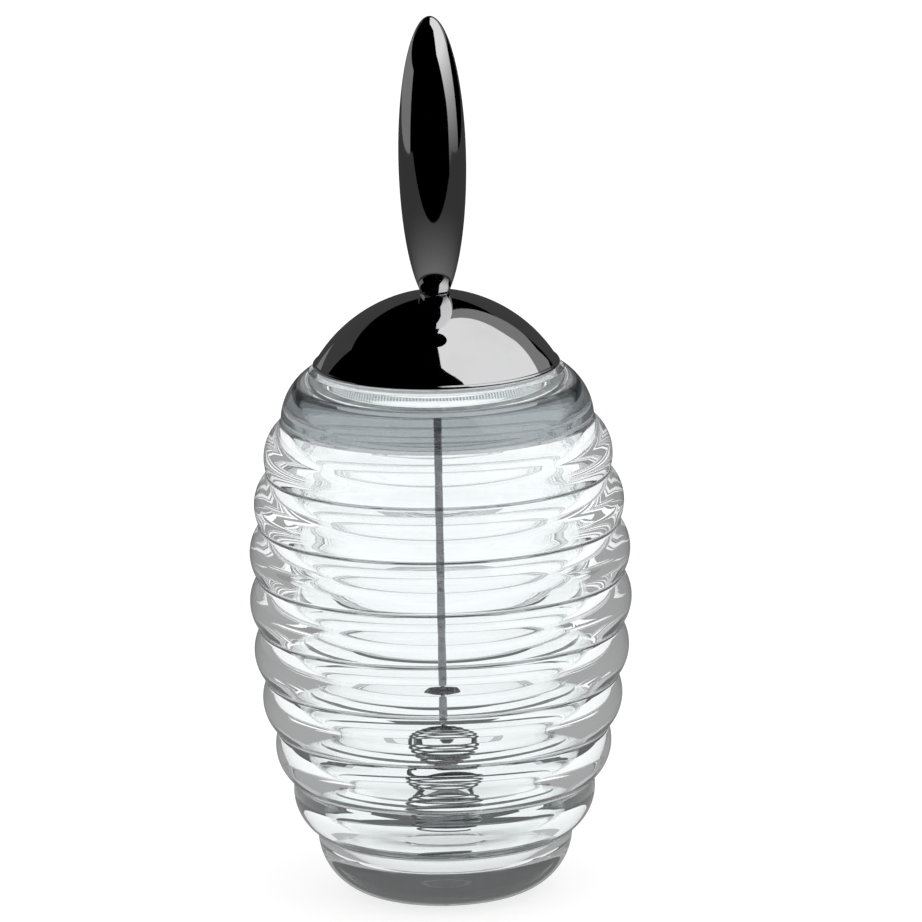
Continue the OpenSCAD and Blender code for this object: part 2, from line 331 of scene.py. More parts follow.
def new_group(name: str, inputs: Sequence[Tuple[str, float]], outputs: Sequence[str]) -> bpy.types.NodeTree:
    """Starts a shader node group.

    Args:
        name: Name of the group.
        inputs: Name and usual value of each input.
        outputs: Name of each output.

    Returns:
        The group, with its input and output nodes.
    """
    group = bpy.data.node_groups.new(name, "ShaderNodeTree")
    for label, value in inputs:
        socket = group.interface.new_socket(name=label, in_out="INPUT", socket_type="NodeSocketFloat")
        socket.default_value = value
    for label in outputs:
        group.interface.new_socket(name=label, in_out="OUTPUT", socket_type="NodeSocketFloat")
    group.nodes.new("NodeGroupInput").name = "in"
    group.nodes.new("NodeGroupOutput").name = "out"
    return group


def add_node(tree: bpy.types.NodeTree, kind: str, **settings: object) -> bpy.types.Node:
    """Adds a node and sets its properties.

    Args:
        tree: The node tree.
        kind: Blender's name of the node's type.
        **settings: Properties of the node.

    Returns:
        The node.
    """
    node = tree.nodes.new(kind)
    for label, value in settings.items():
        setattr(node, label, value)
    return node


def feed(tree: bpy.types.NodeTree, socket: bpy.types.NodeSocket, value: object) -> None:
    """Feeds an input from a socket, or sets it to a number.

    Args:
        tree: The node tree.
        socket: The input.
        value: A socket or a number.
    """
    if isinstance(value, bpy.types.NodeSocket):
        tree.links.new(value, socket)
    else:
        socket.default_value = value


def math_node(tree: bpy.types.NodeTree, operation: str, a: object, b: object = 0.0) -> bpy.types.NodeSocket:
    """Adds a Math node whose inputs are sockets or numbers.

    Args:
        tree: The node tree.
        operation: The node's operation.
        a: First input.
        b: Second input.

    Returns:
        The node's output.
    """
    node = add_node(tree, "ShaderNodeMath", operation=operation)
    for index, value in enumerate((a, b)):
        feed(tree, node.inputs[index], value)
    return node.outputs[0]


def noise(tree: bpy.types.NodeTree, where: bpy.types.NodeSocket, scale: object, detail: float = 2,
          roughness: float = 0.5) -> bpy.types.NodeSocket:
    """Adds a noise texture.

    Args:
        tree: The node tree.
        where: The coordinates.
        scale: Scale as a number or socket.
        detail: Octaves of detail.
        roughness: Strength of the finer octaves.

    Returns:
        The noise's value, from 0 to 1.
    """
    node = add_node(tree, "ShaderNodeTexNoise")
    node.inputs["Detail"].default_value = detail
    node.inputs["Roughness"].default_value = roughness
    tree.links.new(where, node.inputs["Vector"])
    feed(tree, node.inputs["Scale"], scale)
    return node.outputs[0]


def between(tree: bpy.types.NodeTree, value: bpy.types.NodeSocket, low: float, high: float,
            to_low: object = 0.0, to_high: object = 1.0) -> bpy.types.NodeSocket:
    """Adds a clamped Map Range node.

    Args:
        tree: The node tree.
        value: The value that is mapped.
        low: Value that gives to_low.
        high: Value that gives to_high.
        to_low: Lower result, a number or socket.
        to_high: Upper result, a number or socket.

    Returns:
        The mapped value.
    """
    node = add_node(tree, "ShaderNodeMapRange", clamp=True)
    tree.links.new(value, node.inputs["Value"])
    node.inputs["From Min"].default_value = low
    node.inputs["From Max"].default_value = high
    for label, result in (("To Min", to_low), ("To Max", to_high)):
        feed(tree, node.inputs[label], result)
    return node.outputs[0]


def object_place(tree: bpy.types.NodeTree, stretch: Place = (1, 1, 1)) -> bpy.types.NodeSocket:
    """Adds Object coordinates through a Mapping node.

    Args:
        tree: The node tree.
        stretch: Scale of the mapping along X, Y and Z.

    Returns:
        The mapped coordinates.
    """
    place = add_node(tree, "ShaderNodeTexCoord")
    mapping = add_node(tree, "ShaderNodeMapping")
    mapping.inputs["Scale"].default_value = stretch
    tree.links.new(place.outputs["Object"], mapping.inputs["Vector"])
    return mapping.outputs[0]


def build_handling_marks() -> bpy.types.NodeTree:
    """Builds the group that spreads faint smears and specks of handling over a surface.

    Returns:
        A group with inputs Size and Amount and the outputs Smear and Speck.
    """
    group = new_group("handling_marks", [("Size", 60.0), ("Amount", 1.0)], ["Smear", "Speck"])
    given, out = group.nodes["in"], group.nodes["out"]
    place = object_place(group)
    patches = noise(group, place, given.outputs["Size"], detail=5, roughness=0.6)
    smear = between(group, patches, *SMEAR_RANGE)
    group.links.new(math_node(group, "MULTIPLY", smear, given.outputs["Amount"]), out.inputs["Smear"])
    fine_size = math_node(group, "MULTIPLY", given.outputs["Size"], SPECKS_PER_SMEAR)
    fine = noise(group, place, fine_size, detail=1)
    speck = between(group, fine, *SPECK_RANGE)
    group.links.new(math_node(group, "MULTIPLY", speck, given.outputs["Amount"]), out.inputs["Speck"])
    return group


def build_turning_lines() -> bpy.types.NodeTree:
    """Builds the group for the fine rings that turning and buffing leave round the axis.

    Returns:
        A group with inputs Pitch and Strength and the outputs Height and Tone.
    """
    group = new_group("turning_lines", [("Pitch", 2600.0), ("Strength", 1.0)], ["Height", "Tone"])
    given, out = group.nodes["in"], group.nodes["out"]
    place = object_place(group)
    split = add_node(group, "ShaderNodeSeparateXYZ")
    group.links.new(place, split.inputs[0])
    squares = [math_node(group, "MULTIPLY", side, side) for side in (split.outputs[0], split.outputs[1])]
    across = math_node(group, "SQRT", math_node(group, "ADD", *squares))
    rings = add_node(group, "ShaderNodeCombineXYZ")
    group.links.new(across, rings.inputs[0])
    group.links.new(split.outputs[2], rings.inputs[2])
    lines = noise(group, rings.outputs[0], given.outputs["Pitch"], detail=2)
    height = math_node(group, "MULTIPLY", lines, given.outputs["Strength"])
    group.links.new(height, out.inputs["Height"])
    group.links.new(between(group, lines, *LINE_RANGE), out.inputs["Tone"])
    return group


def build_slow_waves() -> bpy.types.NodeTree:
    """Builds the group for the slow waves of pressed glass, sheet and silicone.

    Returns:
        A group with inputs Size and Depth and the output Height.
    """
    group = new_group("slow_waves", [("Size", 30.0), ("Depth", 1.0)], ["Height"])
    given, out = group.nodes["in"], group.nodes["out"]
    place = object_place(group, WAVE_STRETCH)
    broad = noise(group, place, given.outputs["Size"], detail=1, roughness=0.3)
    group.links.new(math_node(group, "MULTIPLY", broad, given.outputs["Depth"]), out.inputs["Height"])
    return group


class SharedEffects:
    """The node groups that the finishes share, built once."""

    def __init__(self) -> None:
        """Builds every group."""
        self.marks = build_handling_marks()
        self.lines = build_turning_lines()
        self.waves = build_slow_waves()

    @staticmethod
    def place(tree: bpy.types.NodeTree, group: bpy.types.NodeTree, **values: float) -> bpy.types.Node:
        """Places a group in a material with its own values.

        Args:
            tree: The material's node tree.
            group: The group.
            **values: Value of each named input.

        Returns:
            The group node.
        """
        node = add_node(tree, "ShaderNodeGroup", node_tree=group)
        for label, value in values.items():
            node.inputs[label].default_value = value
        return node


# Finishes


def plain_material(name: str) -> Tuple[bpy.types.Material, bpy.types.NodeTree, bpy.types.Node]:
    """Makes a material with a Principled shader.

    Args:
        name: Name of the material.

    Returns:
        The material, its node tree and the shader.
    """
    material = bpy.data.materials.new(name)
    material.use_nodes = True
    tree = material.node_tree
    return material, tree, tree.nodes["Principled BSDF"]


def mixed_colour(tree: bpy.types.NodeTree, factor: bpy.types.NodeSocket, a: Colour,
                 b: Colour) -> bpy.types.NodeSocket:
    """Mixes two colours by a mask.

    Args:
        tree: The node tree.
        factor: The mask.
        a: Colour where the mask is 0.
        b: Colour where the mask is 1.

    Returns:
        The mixed colour.
    """
    node = add_node(tree, "ShaderNodeMix", data_type="RGBA")
    tree.links.new(factor, node.inputs[0])
    node.inputs[6].default_value = (*a, 1)
    node.inputs[7].default_value = (*b, 1)
    return node.outputs[2]


def bumped(tree: bpy.types.NodeTree, shader: bpy.types.Node, height: bpy.types.NodeSocket,
           distance: float) -> None:
    """Feeds a height through a Bump node into the shader's normal.

    Args:
        tree: The node tree.
        shader: The Principled shader.
        height: The height.
        distance: Height of the bump in metres.
    """
    bump = add_node(tree, "ShaderNodeBump")
    bump.inputs["Strength"].default_value = 1.0
    bump.inputs["Distance"].default_value = distance
    tree.links.new(height, bump.inputs["Height"])
    tree.links.new(bump.outputs[0], shader.inputs["Normal"])


@dataclass(frozen=True)
class ClearGlass:
    """Thick clear glass with a cool tint, fire polished, with slow waves from the mould.

    Light that the renderer would drop after trapped_after mirrorings inside the wall comes back
    as trapped_tone, the mean tone of the surroundings.
    """

    tint: Colour = (0.955, 0.98, 0.985)
    smear_tint: Colour = (0.93, 0.955, 0.96)
    index: float = 1.5
    gloss: float = 0.0
    smear_gloss: float = 0.02
    mark_size: float = 45.0
    wave_size: float = 55.0
    wave_depth: float = 0.00004
    trapped_after: float = 3.5
    trapped_tone: float = 0.2

    def build(self, effects: SharedEffects, name: str = "thick_clear_glass") -> bpy.types.Material:
        """Builds the material.

        Args:
            effects: The shared node groups.
            name: Name of the material.

        Returns:
            The material.
        """
        material, tree, shader = plain_material(name)
        shader.inputs["Transmission Weight"].default_value = 1.0
        shader.inputs["IOR"].default_value = self.index
        marks = effects.place(tree, effects.marks, Size=self.mark_size, Amount=1.0)
        tree.links.new(mixed_colour(tree, marks.outputs["Smear"], self.tint, self.smear_tint),
                       shader.inputs["Base Color"])
        tree.links.new(between(tree, marks.outputs["Smear"], 0, 1, self.gloss, self.smear_gloss),
                       shader.inputs["Roughness"])
        waves = effects.place(tree, effects.waves, Size=self.wave_size, Depth=1.0)
        bumped(tree, shader, waves.outputs["Height"], self.wave_depth)
        path = add_node(tree, "ShaderNodeLightPath")
        trapped = math_node(tree, "GREATER_THAN", path.outputs["Glossy Depth"], self.trapped_after)
        tree.links.new(math_node(tree, "MULTIPLY", trapped, self.trapped_tone),
                       shader.inputs["Emission Strength"])
        shader.inputs["Emission Color"].default_value = (1, 1, 1, 1)
        return material


PLAIN_GLASS = ClearGlass()
# Glass tinted dark to paint the shade seen in the small round of each groove; the real glass is clear there.
GROOVE_SHADE_GLASS = ClearGlass(tint=(0.3, 0.31, 0.32), smear_tint=(0.26, 0.27, 0.28))
# Glass tinted dark to paint the shade seen on the plain shoulder; the real glass is clear there.
SHOULDER_SHADE_GLASS = ClearGlass(tint=(0.16, 0.18, 0.19), smear_tint=(0.14, 0.16, 0.17))


@dataclass(frozen=True)
class FrostedSilicone:
    """Translucent milky silicone with a fine satin surface.

    Seen through the glass it also glows by lit_tone, for the light that the glass lets in to it.
    """

    tone: Colour = (0.90, 0.92, 0.92)
    cloud: Colour = (0.84, 0.87, 0.87)
    gloss: float = 0.28
    dull: float = 0.42
    clearness: float = 0.25
    index: float = 1.41
    wave_size: float = 240.0
    wave_depth: float = 0.00006
    cloud_low: float = 0.35
    cloud_high: float = 0.65
    lit_tone: float = 0.75

    def build(self, effects: SharedEffects) -> bpy.types.Material:
        """Builds the material.

        Args:
            effects: The shared node groups.

        Returns:
            The material.
        """
        material, tree, shader = plain_material("frosted_silicone")
        shader.inputs["Transmission Weight"].default_value = self.clearness
        shader.inputs["IOR"].default_value = self.index
        waves = effects.place(tree, effects.waves, Size=self.wave_size, Depth=1.0)
        cloud = between(tree, waves.outputs["Height"], self.cloud_low, self.cloud_high)
        tree.links.new(mixed_colour(tree, cloud, self.tone, self.cloud), shader.inputs["Base Color"])
        tree.links.new(between(tree, cloud, 0, 1, self.gloss, self.dull), shader.inputs["Roughness"])
        bumped(tree, shader, waves.outputs["Height"], self.wave_depth)
        path = add_node(tree, "ShaderNodeLightPath")
        tree.links.new(math_node(tree, "MULTIPLY", path.outputs["Is Transmission Ray"], self.lit_tone),
                       shader.inputs["Emission Strength"])
        shader.inputs["Emission Color"].default_value = (*self.tone, 1)
        return material


@dataclass(frozen=True)
class PolishedSteel:
    """Mirror polished steel with faint smears and the last trace of buffing rings."""

    tone: Colour = (0.80, 0.80, 0.81)
    smear_tone: Colour = (0.76, 0.76, 0.77)
    gloss: float = 0.03
    smear_gloss: float = 0.07
    speck_gloss: float = 0.08
    mark_size: float = 90.0
    ring_pitch: float = 2400.0
    ring_depth: float = 0.0000004

    def build(self, effects: SharedEffects) -> bpy.types.Material:
        """Builds the material.

        Args:
            effects: The shared node groups.

        Returns:
            The material.
        """
        material, tree, shader = plain_material("mirror_polished_steel")
        shader.inputs["Metallic"].default_value = 1.0
        marks = effects.place(tree, effects.marks, Size=self.mark_size, Amount=1.0)
        lines = effects.place(tree, effects.lines, Pitch=self.ring_pitch, Strength=1.0)
        tree.links.new(mixed_colour(tree, marks.outputs["Smear"], self.tone, self.smear_tone),
                       shader.inputs["Base Color"])
        smear = between(tree, marks.outputs["Smear"], 0, 1, self.gloss, self.smear_gloss)
        speck = math_node(tree, "MULTIPLY", marks.outputs["Speck"], self.speck_gloss)
        tree.links.new(math_node(tree, "ADD", smear, speck), shader.inputs["Roughness"])
        bumped(tree, shader, lines.outputs["Height"], self.ring_depth)
        return material


@dataclass(frozen=True)
class PressedSteel:
    """Plain pressed or turned steel, with turning rings and a satin sheen."""

    tone: Colour = (0.66, 0.66, 0.67)
    groove_tone: Colour = (0.52, 0.52, 0.54)
    gloss: float = 0.16
    dull: float = 0.3
    smear_gloss: float = 0.06
    mark_size: float = 120.0
    ring_pitch: float = 1800.0
    ring_depth: float = 0.000004

    def build(self, effects: SharedEffects) -> bpy.types.Material:
        """Builds the material.

        Args:
            effects: The shared node groups.

        Returns:
            The material.
        """
        material, tree, shader = plain_material("turned_steel")
        shader.inputs["Metallic"].default_value = 1.0
        lines = effects.place(tree, effects.lines, Pitch=self.ring_pitch, Strength=1.0)
        marks = effects.place(tree, effects.marks, Size=self.mark_size, Amount=1.0)
        tree.links.new(mixed_colour(tree, lines.outputs["Tone"], self.tone, self.groove_tone),
                       shader.inputs["Base Color"])
        rings = between(tree, lines.outputs["Tone"], 0, 1, self.gloss, self.dull)
        smear = math_node(tree, "MULTIPLY", marks.outputs["Smear"], self.smear_gloss)
        tree.links.new(math_node(tree, "ADD", rings, smear), shader.inputs["Roughness"])
        bumped(tree, shader, lines.outputs["Height"], self.ring_depth)
        return material


@dataclass(frozen=True)
class DrawnWire:
    """Drawn steel wire and rod, grey and a little dull, with die marks and handling wear."""

    tone: Colour = (0.24, 0.24, 0.25)
    worn: Colour = (0.15, 0.15, 0.16)
    gloss: float = 0.2
    dull: float = 0.42
    mark_size: float = 260.0
    wave_size: float = 900.0
    wave_depth: float = 0.00003

    def build(self, effects: SharedEffects) -> bpy.types.Material:
        """Builds the material.

        Args:
            effects: The shared node groups.

        Returns:
            The material.
        """
        material, tree, shader = plain_material("drawn_wire")
        shader.inputs["Metallic"].default_value = 1.0
        marks = effects.place(tree, effects.marks, Size=self.mark_size, Amount=1.0)
        waves = effects.place(tree, effects.waves, Size=self.wave_size, Depth=1.0)
        tree.links.new(mixed_colour(tree, marks.outputs["Smear"], self.tone, self.worn),
                       shader.inputs["Base Color"])
        tree.links.new(between(tree, marks.outputs["Smear"], 0, 1, self.gloss, self.dull),
                       shader.inputs["Roughness"])
        bumped(tree, shader, waves.outputs["Height"], self.wave_depth)
        return material


# The pot


@dataclass
class Jar:
    """The ribbed glass jar. Sizes in millimetres, as in the part's source.

    The fields that end in steps count the edges of the mesh along a curve.
    """

    hive_r: float = 40.2
    belly_z: float = 70.0
    neck_r: float = 34.4
    heel_r: float = 28.1
    base_h: float = 13.5
    rib_count: int = 8
    rib_pitch: float = 11.54
    rib_bulge: float = 2.0
    shoulder_h: float = 11.3
    shoulder_bulge: float = 1.7
    lip_r: float = 28.0
    lip_edge: float = 0.5
    foot_r: float = 17.7
    base_bulge: float = 3.0
    foot_edge: float = 1.6
    punt_r: float = 12.5
    punt_h: float = 0.8
    wall: float = 7.5
    neck_wall: float = 4.0
    heel_wall: float = 5.4
    swell_h: float = 0.9
    swell_drop: float = 0.4
    ripple_h: float = 0.28
    ripple_rise: float = 1.5
    floor_t: float = 9.0
    floor_round: float = 6.0
    shoulder_round: float = 5.0
    mouth_h: float = 3.8
    mouth_r: float = 22.0
    groove_soft: float = 0.45
    mouth_soft: float = 0.5
    clear_lip_h: float = 2.5
    punt_steps: int = 8
    foot_steps: int = 8
    base_steps: int = 20
    rib_steps: int = 16
    shoulder_steps: int = 18
    lip_steps: int = 6
    round_steps: int = 12
    wall_steps: int = 120
    soft_steps: int = 4
    turn_steps: int = 200
    smooth_angle: float = 60.0

    @property
    def top_groove_z(self) -> float:
        """Height of the top groove."""
        return self.base_h + self.rib_count * self.rib_pitch

    @property
    def lip_z(self) -> float:
        """Height of the lip."""
        return self.top_groove_z + self.shoulder_h

    def groove(self, i: int) -> Point:
        """Works out where a groove lies.

        Args:
            i: Number of the groove, counted up from the base.

        Returns:
            Its radius and height.
        """
        z = self.base_h + i * self.rib_pitch
        upper = (self.top_groove_z - self.belly_z) / math.sqrt(1 - (self.neck_r / self.hive_r) ** 2)
        lower = (self.belly_z - self.base_h) / math.sqrt(1 - (self.heel_r / self.hive_r) ** 2)
        half = upper if z > self.belly_z else lower
        return self.hive_r * math.sqrt(1 - ((z - self.belly_z) / half) ** 2), z

    def inner_r(self, z: float) -> float:
        """Works out the radius of the inner wall, which swells out behind each rib.

        Args:
            z: Height in millimetres.

        Returns:
            The radius at that height.
        """
        belly = self.hive_r - self.wall
        if z > self.belly_z:
            rise, drop = self.top_groove_z - self.belly_z, belly - self.neck_r + self.neck_wall
        else:
            rise, drop = self.belly_z - self.base_h, belly - self.heel_r + self.heel_wall
        curve = (rise * rise + drop * drop) / (2 * drop)
        mean = belly - curve + math.sqrt(curve * curve - (z - self.belly_z) ** 2)
        up = z - self.base_h - self.rib_pitch / 2
        turn = 2 * math.pi / self.rib_pitch
        swell = self.swell_h * math.cos(turn * (up + self.swell_drop))
        ripple = self.ripple_h * math.cos(2 * turn * (up - self.ripple_rise))
        return mean + swell + ripple

    def build(self, glass: bpy.types.Material, groove_shade_glass: bpy.types.Material,
              shoulder_shade_glass: bpy.types.Material) -> bpy.types.Object:
        """Draws the jar's outline, turns it and dresses it in glass.

        Args:
            glass: The glass material.
            groove_shade_glass: Glass darkened to paint the shade in the small round of each groove.
            shoulder_shade_glass: Glass darkened to paint the shade on the plain shoulder.

        Returns:
            The jar.
        """
        shape = TurnedShape("jar_glass", (0, self.punt_h))
        self.draw_outside(shape)
        self.draw_inside(shape)
        piece = shape.turn(self.turn_steps)
        for finish in (glass, groove_shade_glass, shoulder_shade_glass):
            piece.data.materials.append(finish)
        # The shoulder takes the glass darkened to paint shade there.
        self.paint_shoulder_shade(piece)
        grooves = [self.groove(i) for i in range(self.rib_count + 1)]
        # The small round in each groove takes the glass darkened to paint shade there.
        soften(piece, grooves, self.groove_soft, self.soft_steps, finish=JarGlass.GROOVE)
        throat_z = self.lip_z - self.mouth_h
        mouth = [(self.mouth_r, self.lip_z), (self.mouth_r, throat_z)]
        soften(piece, mouth, self.mouth_soft, self.soft_steps)
        return finish_piece(piece, Rides.JAR, glass, ["glass_jar"], angle=self.smooth_angle)

    def paint_shoulder_shade(self, piece: bpy.types.Object) -> None:
        """Gives the outside of the plain shoulder, up to where the seal shows, the glass darkened to paint
        the shade there.

        Args:
            piece: The jar, in edit mode.
        """
        shape = bmesh.from_edit_mesh(piece.data)
        for face in shape.faces:
            middle = face.calc_center_median()
            outward = face.normal.x * middle.x + face.normal.y * middle.y > 0
            if outward and self.top_groove_z < middle.z / MM < self.lip_z - self.clear_lip_h:
                face.material_index = JarGlass.SHOULDER
        bmesh.update_edit_mesh(piece.data)

    def draw_outside(self, shape: TurnedShape) -> None:
        """Draws from the middle of the foot out and up to the lip.

        Args:
            shape: The outline.
        """
        curve = (self.punt_r ** 2 + self.punt_h ** 2) / (2 * self.punt_h)
        shape.arc((0, self.punt_h - curve), (self.punt_r, 0), self.punt_steps, clockwise=True)
        base_arc = arc_radius((self.foot_r, 0), self.groove(0), self.base_bulge)
        base = arc_centre((self.foot_r, 0), self.groove(0), self.base_bulge)
        edge = (nested_r(base, base_arc, self.foot_edge, self.foot_edge), self.foot_edge)
        shape.line((edge[0], 0)).arc(edge, touch(base, base_arc, edge), self.foot_steps)
        shape.arc(base, self.groove(0), self.base_steps)
        for i in range(self.rib_count):
            low, high = self.groove(i), self.groove(i + 1)
            shape.arc(arc_centre(low, high, self.rib_bulge), high, self.rib_steps)
        top, lip = self.groove(self.rib_count), (self.lip_r, self.lip_z)
        arc = arc_radius(top, lip, self.shoulder_bulge)
        centre = arc_centre(top, lip, self.shoulder_bulge)
        round_r = nested_r(centre, arc, self.lip_edge, self.lip_z - self.lip_edge)
        middle = (round_r, self.lip_z - self.lip_edge)
        shape.arc(centre, touch(centre, arc, middle), self.shoulder_steps)
        shape.arc(middle, (round_r, self.lip_z), self.lip_steps)

    def draw_inside(self, shape: TurnedShape) -> None:
        """Draws from the lip down the mouth and the inner wall to the middle of the floor.

        Args:
            shape: The outline.
        """
        throat_z = self.lip_z - self.mouth_h
        top_z = throat_z - self.shoulder_round
        low_z = self.floor_t + self.floor_round
        top = (self.inner_r(top_z) - self.shoulder_round, top_z)
        low = (self.inner_r(low_z) - self.floor_round, low_z)
        shape.line((self.mouth_r, self.lip_z), (self.mouth_r, throat_z), (top[0], throat_z))
        shape.arc(top, (self.inner_r(top_z), top_z), self.round_steps, clockwise=True)
        step = (top_z - low_z) / self.wall_steps
        heights = [top_z - i * step for i in range(1, self.wall_steps + 1)]
        shape.line(*[(self.inner_r(z), z) for z in heights])
        shape.arc(low, (low[0], self.floor_t), self.round_steps, clockwise=True)
        shape.line((low[0] / 2, self.floor_t), (0, self.floor_t))


@dataclass
class Seal:
    """The silicone ring between the lip and the lid, with its beads in the mouth."""

    mouth_r: float = 22.0
    gap: float = 0.3
    flange_t: float = 0.8
    flange_r: float = 26.1
    skirt_h: float = 5.6
    skirt_t: float = 1.1
    bead_h: float = 0.3
    bead_count: int = 2
    edge: float = 0.3
    edge_steps: int = 3
    bead_steps: int = 6
    turn_steps: int = 160

    def build(self, silicone: bpy.types.Material, lip_z: float) -> bpy.types.Object:
        """Draws the ring's section, turns it and dresses it in silicone.

        Args:
            silicone: The silicone material.
            lip_z: Height of the jar's lip.

        Returns:
            The ring.
        """
        skirt_r = self.mouth_r - self.gap - self.bead_h
        inner_r = skirt_r - self.skirt_t
        low, top = lip_z - self.skirt_h, lip_z + self.flange_t
        shape = TurnedShape("seal_silicone", (inner_r, low))
        shape.line((skirt_r, low))
        for i in range(1, self.bead_count + 1):
            z = low + i * self.skirt_h / (self.bead_count + 1)
            shape.line((skirt_r, z - self.bead_h))
            shape.arc((skirt_r, z), (skirt_r, z + self.bead_h), self.bead_steps)
        shape.line((skirt_r, lip_z), (self.flange_r, lip_z), (self.flange_r, top))
        shape.line((inner_r, top), (inner_r, low))
        piece = shape.turn(self.turn_steps)
        soften(piece, [(inner_r, low), (skirt_r, low), (inner_r, top)], self.edge, self.edge_steps)
        soften(piece, [(self.flange_r, lip_z), (self.flange_r, top)], self.edge, self.edge_steps)
        return finish_piece(piece, Rides.SEAL, silicone, ["seal_ring"])


@dataclass
class Lid:
    """The domed lid with its rolled rim, and the pressed cup under it."""

    lid_r: float = 27.1
    dome_h: float = 16.5
    dome_point: float = 1.4
    sheet: float = 0.8
    hem_w: float = 2.2
    seat_r: float = 2.9
    bead: float = 0.55
    bead_proud: float = 0.15
    liner_sheet: float = 0.6
    liner_gap: float = 0.3
    liner_depth: float = 3.4
    liner_bend: float = 0.8
    stud_hole: float = 1.6
    seat_soft: float = 0.5
    cup_soft: float = 0.25
    rim_steps: int = 12
    dome_steps: int = 44
    under_steps: int = 40
    bend_steps: int = 8
    seat_soft_steps: int = 4
    cup_soft_steps: int = 3
    dome_turn_steps: int = 192
    cup_turn_steps: int = 160
    tries_per_degree: int = 10

    def seat_z(self, rim_z: float) -> float:
        """Returns the height of the flat that the handle stands on."""
        centre, arc = self.dome_arc(rim_z)
        return centre[1] + math.sqrt(arc * arc - (self.seat_r - centre[0]) ** 2)

    def dome_arc(self, rim_z: float) -> Tuple[Point, float]:
        """Works out the dome's outer arc.

        Args:
            rim_z: Height of the rim's lower face.

        Returns:
            The centre and the radius of the arc.
        """
        drop = (self.lid_r * (self.lid_r + 2 * self.dome_point) - self.dome_h ** 2) / (2 * self.dome_h)
        arc = math.hypot(self.lid_r + self.dome_point, drop)
        return (-self.dome_point, rim_z + self.sheet / 2 - drop), arc

    def build_dome(self, steel: bpy.types.Material, rim_z: float) -> bpy.types.Object:
        """Draws the dome's section with its rolled rim, turns it and dresses it in polished steel.

        Args:
            steel: The polished steel material.
            rim_z: Height of the rim's lower face.

        Returns:
            The dome.
        """
        centre, full = self.dome_arc(rim_z)
        arc = full - self.bead_proud
        bead = (self.lid_r - self.bead, rim_z + self.bead)
        leave = self.bead_meets_dome(bead, centre, arc)
        seat = self.seat_z(rim_z) - self.bead_proud
        seat_edge = nested_r(centre, arc, 0, seat)
        under = seat - self.sheet
        inner = arc - self.sheet
        under_edge = nested_r(centre, inner, 0, under)
        floor = rim_z + self.sheet
        foot_r = nested_r(centre, inner, 0, floor)
        shape = TurnedShape("lid_dome_shell", (self.lid_r - self.hem_w, rim_z))
        shape.line((bead[0], rim_z)).arc(bead, leave, self.rim_steps)
        shape.arc(centre, (seat_edge, seat), self.dome_steps)
        shape.line((self.stud_hole, seat), (self.stud_hole, under), (under_edge, under))
        shape.arc(centre, (foot_r, floor), self.under_steps, clockwise=True)
        shape.line((self.lid_r - self.hem_w, floor), (self.lid_r - self.hem_w, rim_z))
        piece = shape.turn(self.dome_turn_steps)
        soften(piece, [(seat_edge, seat)], self.seat_soft, self.seat_soft_steps)
        return finish_piece(piece, Rides.LID, steel, ["lid_dome"])

    def bead_meets_dome(self, bead: Point, centre: Point, arc: float) -> Point:
        """Finds where the rolled rim, past its outermost place, runs into the dome.

        Args:
            bead: Centre of the rolled rim.
            centre: Centre of the dome's arc.
            arc: Radius of the dome's arc.

        Returns:
            The point, as radius and height.
        """
        for step in range(180 * self.tries_per_degree):
            angle = math.radians(step / self.tries_per_degree)
            point = (bead[0] + self.bead * math.cos(angle), bead[1] + self.bead * math.sin(angle))
            if math.dist(point, centre) < arc:
                return point
        return bead

    def build_cup(self, steel: bpy.types.Material, rim_z: float, seal_bore_r: float) -> bpy.types.Object:
        """Draws the section of the cup that hangs in the seal, turns it and dresses it in pressed steel.

        Args:
            steel: The pressed steel material.
            rim_z: Height of the rim's lower face.
            seal_bore_r: Inner radius of the seal.

        Returns:
            The cup.
        """
        cup_r = seal_bore_r - self.liner_gap
        low = rim_z - self.liner_depth
        out = self.liner_bend + self.liner_sheet
        hem_r = self.lid_r - self.hem_w
        bend = (cup_r - out, low + out)
        shape = TurnedShape("lid_cup_pressing", (self.stud_hole, low))
        shape.line((bend[0], low)).arc(bend, (cup_r, bend[1]), self.bend_steps)
        shape.line((cup_r, rim_z), (hem_r, rim_z), (hem_r, rim_z + self.liner_sheet))
        inner_corner = (cup_r - self.liner_sheet, rim_z + self.liner_sheet)
        shape.line(inner_corner, (inner_corner[0], bend[1]))
        shape.arc(bend, (bend[0], low + self.liner_sheet), self.bend_steps, clockwise=True)
        shape.line((self.stud_hole, low + self.liner_sheet), (self.stud_hole, low))
        piece = shape.turn(self.cup_turn_steps)
        soften(piece, [(cup_r, rim_z), inner_corner], self.cup_soft, self.cup_soft_steps)
        return finish_piece(piece, Rides.LID, steel, ["lid_liner"])


